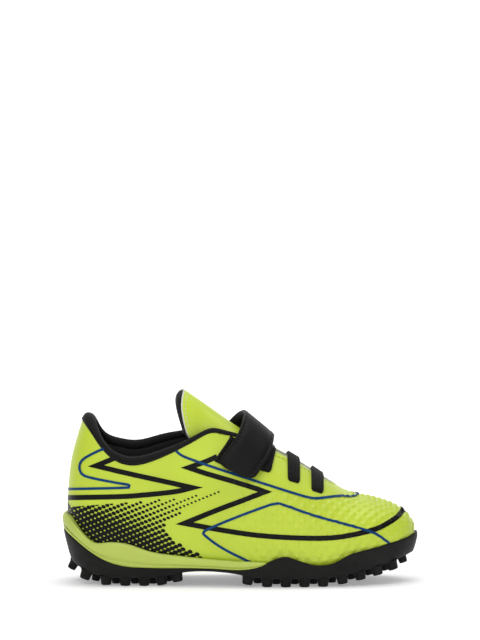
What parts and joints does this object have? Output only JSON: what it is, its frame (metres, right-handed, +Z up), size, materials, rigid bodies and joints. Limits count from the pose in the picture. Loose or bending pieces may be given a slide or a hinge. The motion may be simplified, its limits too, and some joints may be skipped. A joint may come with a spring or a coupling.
{
  "type": "turf football shoe",
  "caption": "Child's right turf football shoe with a rubber cupsole of short studs, a one-piece upper, elastic laces, a padded tongue and a hook-and-loop strap.",
  "frame": {"origin": "on the ground under the middle of the shoe's box", "axes": "+X towards the toe, +Y towards the medial side, +Z up from the ground"},
  "size_m": [0.2098, 0.0802, 0.1147],
  "materials": {
    "upper_synthetic": "soft satin coated synthetic, lime, embossed on the forefoot",
    "midsole_foam": "matte moulded foam, pale lime",
    "outsole_rubber": "matte black moulded rubber",
    "black_textile": "black knitted lining and tape",
    "elastic": "flat black ribbed elastic",
    "strap_synthetic": "matte black synthetic strap with stitched edge",
    "hook_and_loop": "black hook and loop tape",
    "board": "grey fibre board and stiffener",
    "foam": "open-cell foam"
  },
  "bodies": {
    "shoe": {"outsole": "outsole_rubber", "midsole": "midsole_foam", "insole_board": "board", "sockliner": "black_textile", "upper_shell": "upper_synthetic", "heel_counter": "board", "toe_puff": "board", "eyestay_lateral": "board", "eyestay_medial": "board", "collar_foam": "foam", "quarter_lining": "black_textile", "vamp_lining": "black_textile", "collar_binding": "black_textile", "tongue_base": "upper_synthetic", "elastic_lace_1": "elastic", "elastic_lace_2": "elastic", "elastic_lace_3": "elastic", "loop_patch": "hook_and_loop", "strap_anchor": "strap_synthetic"},
    "tongue_flap": {"tongue_face": "upper_synthetic", "tongue_foam": "foam", "tongue_lining": "black_textile"},
    "strap": {"strap_band": "strap_synthetic", "hook_patch": "hook_and_loop"}
  },
  "joints": [
    {"name": "strap_open", "type": "hinge", "parent": "shoe", "child": "strap", "pos_m": [0.00037, 0.02726, 0.07181], "axis": [-0.8412, 0, 0.5407], "range_deg": [0, 112]},
    {"name": "tongue_tilt", "type": "hinge", "parent": "shoe", "child": "tongue_flap", "pos_m": [-0.0118, -0.001, 0.097], "axis": [0, 1, 0], "range_deg": [-4, 30], "stiffness_Nm_per_rad": 0.15}
  ]
}
